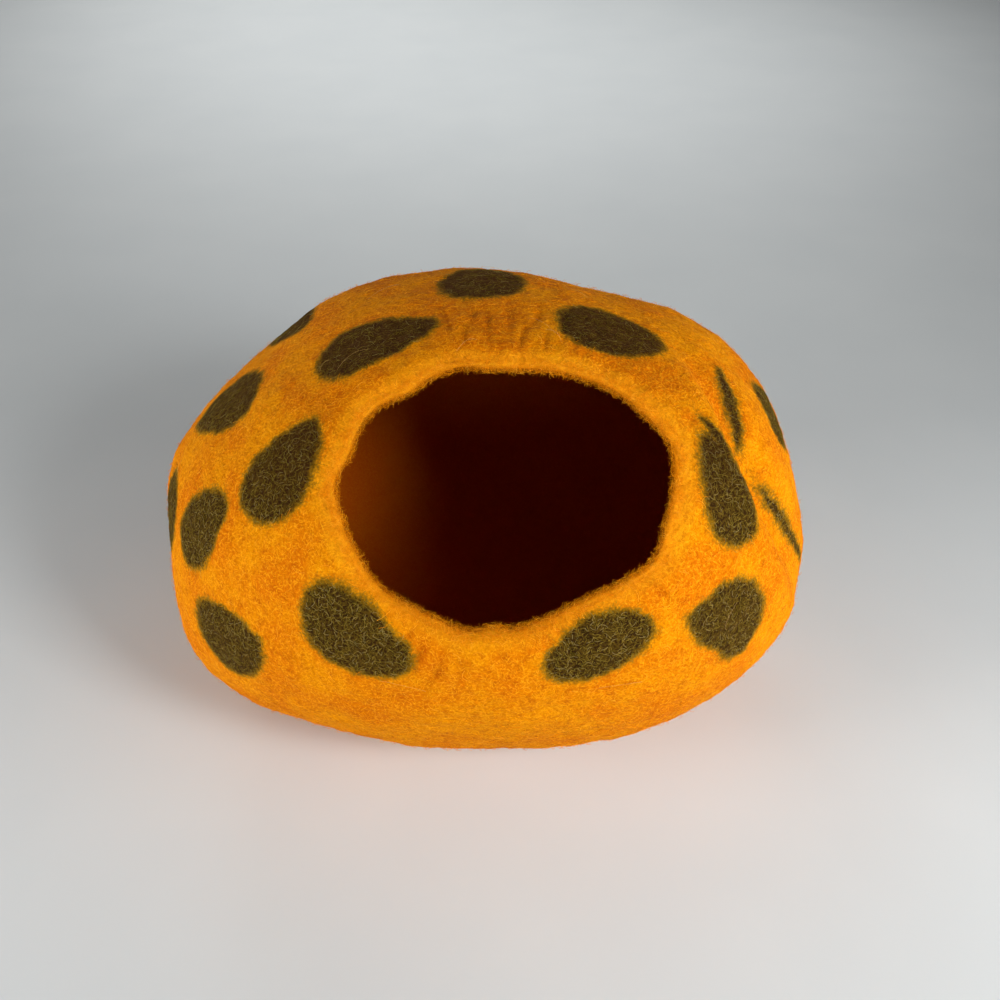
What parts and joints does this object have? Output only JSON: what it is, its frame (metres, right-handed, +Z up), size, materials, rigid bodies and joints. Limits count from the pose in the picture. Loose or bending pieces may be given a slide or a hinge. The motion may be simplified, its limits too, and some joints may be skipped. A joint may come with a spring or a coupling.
{
  "type": "felt cat cave",
  "caption": "Hollow dome-shaped pet cave of thick wool felt in one seamless piece, with an oval entrance in its front shoulder and a flat base.",
  "frame": {"origin": "on the surface the cave stands on, under the middle of its plan outline", "axes": "+Z up, -Y towards the entrance, +X to the right seen from the entrance's side"},
  "size_m": [0.4728, 0.3983, 0.3101],
  "materials": {
    "wool_felt": "thick matt wet-felted wool, orange with dark brown spots felted in"
  },
  "bodies": {
    "root": {"felt_shell": "wool_felt"}
  },
  "joints": []
}
